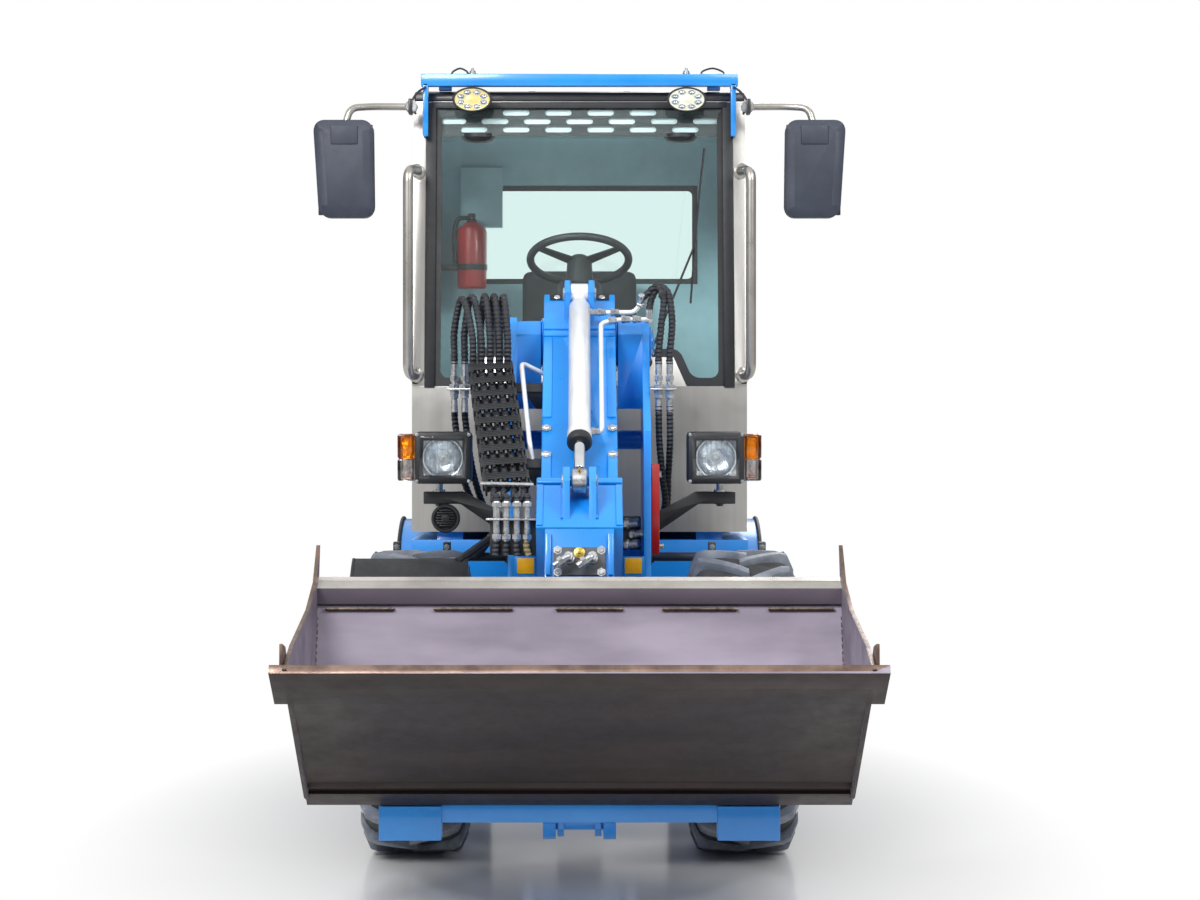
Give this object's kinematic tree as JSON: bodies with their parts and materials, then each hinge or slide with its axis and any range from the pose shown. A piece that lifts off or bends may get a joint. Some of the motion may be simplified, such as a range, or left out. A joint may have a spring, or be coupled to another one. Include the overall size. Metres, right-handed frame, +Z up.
{
  "type": "compact articulated wheel loader",
  "caption": "Compact articulated wheel loader with a glazed cab, telescopic boom, wide bucket, hydraulic cylinders, hoses and big agricultural tyres.",
  "frame": {"origin": "centre of the overall box in plan, on the ground under the tyres", "axes": "+Z up, the bucket looks along -Y, +X is the operator's left side"},
  "size_m": [1.63, 3.788, 2.28],
  "materials": {
    "blue_paint": "gloss",
    "bare_steel": "satin",
    "stainless": "brushed",
    "black_paint": "satin",
    "grey_paint": "satin",
    "red_paint": "gloss",
    "mirror_plastic": "matte",
    "black_plastic": "matte",
    "tyre": "matte",
    "hose_rubber": "matte",
    "zinc": "bright",
    "chrome": "polished",
    "cylinder_paint": "satin",
    "seat_cloth": "matte",
    "glass": "clear"
  },
  "bodies": {
    "rear_frame": {"rear_chassis": "blue_paint", "rear_axle": "black_paint", "engine_block": "grey_paint", "counterweight": "black_paint", "left_tank": "blue_paint", "right_battery_box": "blue_paint", "rear_body": "blue_paint", "cab_frame": "stainless", "cab_roof": "stainless", "windscreen": "glass", "visor_panel": "black_plastic", "rear_window": "glass", "operator_seat": "seat_cloth", "steering_column": "black_plastic", "fire_extinguisher": "red_paint", "roof_lamp_bar": "blue_paint", "left_mirror": "mirror_plastic", "right_mirror": "mirror_plastic"},
    "front_frame": {"front_chassis": "blue_paint", "front_axle": "black_paint", "left_headlamp": "black_plastic", "right_headlamp": "black_plastic", "left_fender_rail": "black_paint", "right_fender_rail": "black_paint", "red_boom_prop": "red_paint", "left_bulkhead": "zinc", "right_bulkhead": "zinc"},
    "rear_left_wheel": {"rear_left_tyre": "tyre", "rear_left_rim": "grey_paint"},
    "rear_right_wheel": {"rear_right_tyre": "tyre", "rear_right_rim": "grey_paint"},
    "front_left_wheel": {"front_left_tyre": "tyre", "front_left_rim": "grey_paint"},
    "front_right_wheel": {"front_right_tyre": "tyre", "front_right_rim": "grey_paint"},
    "boom": {"outer_boom": "blue_paint", "extension_barrel": "cylinder_paint", "energy_chain": "black_plastic", "left_hose_loops": "hose_rubber", "right_hose_loops": "hose_rubber"},
    "inner_boom_body": {"inner_boom": "blue_paint", "extension_rod": "chrome", "right_hose_tails": "hose_rubber"},
    "bucket_body": {"bucket": "bare_steel", "tool_carrier": "blue_paint"},
    "lift_barrel_body": {"lift_barrel": "blue_paint"},
    "lift_rod_body": {"lift_rod": "chrome"},
    "tilt_barrel_body": {"tilt_barrel": "blue_paint"},
    "tilt_rod_body": {"tilt_rod": "chrome"},
    "steering_barrel_body": {"steering_barrel": "black_paint"},
    "steering_rod_body": {"steering_rod": "chrome"},
    "left_door_body": {"left_door": "stainless"},
    "right_door_body": {"right_door": "stainless"},
    "hood_body": {"engine_hood": "blue_paint"}
  },
  "joints": [
    {"name": "articulation", "type": "hinge", "parent": "rear_frame", "child": "front_frame", "pos_m": [0, 0.426, 0.495], "axis": [0, 0, 1], "range_deg": [-40, 40]},
    {"name": "front_left_wheel_spin", "type": "hinge", "parent": "front_frame", "child": "front_left_wheel", "pos_m": [0.455, -0.394, 0.4225], "axis": [1, 0, 0], "continuous": true},
    {"name": "front_right_wheel_spin", "type": "hinge", "parent": "front_frame", "child": "front_right_wheel", "pos_m": [-0.455, -0.394, 0.4225], "axis": [1, 0, 0], "continuous": true},
    {"name": "rear_left_wheel_spin", "type": "hinge", "parent": "rear_frame", "child": "rear_left_wheel", "pos_m": [0.455, 1.246, 0.4225], "axis": [1, 0, 0], "continuous": true},
    {"name": "rear_right_wheel_spin", "type": "hinge", "parent": "rear_frame", "child": "rear_right_wheel", "pos_m": [-0.455, 1.246, 0.4225], "axis": [1, 0, 0], "continuous": true},
    {"name": "boom_lift", "type": "hinge", "parent": "front_frame", "child": "boom", "pos_m": [0, -0.008, 1.435], "axis": [-1, 0, 0], "range_deg": [-5, 80], "deforming": ["left_hose_loops", "right_hose_loops"]},
    {"name": "telescope", "type": "slide", "parent": "boom", "child": "inner_boom_body", "axis": [0, -0.788, -0.6157], "range_m": [0, 0.5], "deforming": ["right_hose_tails"]},
    {"name": "bucket_tilt", "type": "hinge", "parent": "inner_boom_body", "child": "bucket_body", "pos_m": [0, -1.211, 0.207], "axis": [1, 0, 0], "range_deg": [-5, 85]},
    {"name": "lift_barrel_swing", "type": "hinge", "parent": "front_frame", "child": "lift_barrel_body", "pos_m": [0, -0.174, 0.4], "axis": [1, 0, 0], "range_deg": [-0.87, 13.82]},
    {"name": "lift_rod_slide", "type": "slide", "parent": "lift_barrel_body", "child": "lift_rod_body", "axis": [0, -0.0515, 0.9987], "range_m": [-0.03116, 0.49702]},
    {"name": "tilt_barrel_swing", "type": "hinge", "parent": "inner_boom_body", "child": "tilt_barrel_body", "pos_m": [0, -0.825, 0.707], "axis": [1, 0, 0], "range_deg": [-17.32, 1.02]},
    {"name": "tilt_rod_slide", "type": "slide", "parent": "tilt_barrel_body", "child": "tilt_rod_body", "axis": [0, -0.7082, -0.706], "range_m": [-0.01579, 0.26686]},
    {"name": "steering_barrel_swing", "type": "hinge", "parent": "rear_frame", "child": "steering_barrel_body", "pos_m": [0.25, 0.811, 0.48], "axis": [0, 0, 1], "range_deg": [-15.29, 15.29]},
    {"name": "steering_rod_slide", "type": "slide", "parent": "steering_barrel_body", "child": "steering_rod_body", "axis": [-0.0904, -0.9959, 0], "range_m": [-0.1477, 0.1477]},
    {"name": "left_door_hinge", "type": "hinge", "parent": "rear_frame", "child": "left_door_body", "pos_m": [0.53, 0.974, 1.5], "axis": [0, 0, 1], "range_deg": [0, 85]},
    {"name": "right_door_hinge", "type": "hinge", "parent": "rear_frame", "child": "right_door_body", "pos_m": [-0.53, 0.974, 1.5], "axis": [0, 0, -1], "range_deg": [0, 85]},
    {"name": "hood_hinge", "type": "hinge", "parent": "rear_frame", "child": "hood_body", "pos_m": [0, 1.232, 1.328], "axis": [1, 0, 0], "range_deg": [0, 60]}
  ],
  "couplings": [
    {"joint": "lift_barrel_swing", "follows": "boom_lift", "ratio": 0.17235},
    {"joint": "lift_rod_slide", "follows": "boom_lift", "m_per_rad": 0.35518},
    {"joint": "tilt_barrel_swing", "follows": "bucket_tilt", "ratio": -0.20325},
    {"joint": "tilt_rod_slide", "follows": "bucket_tilt", "m_per_rad": 0.17946},
    {"joint": "steering_barrel_swing", "follows": "articulation", "ratio": 0.3814},
    {"joint": "steering_rod_slide", "follows": "articulation", "m_per_rad": -0.211}
  ]
}
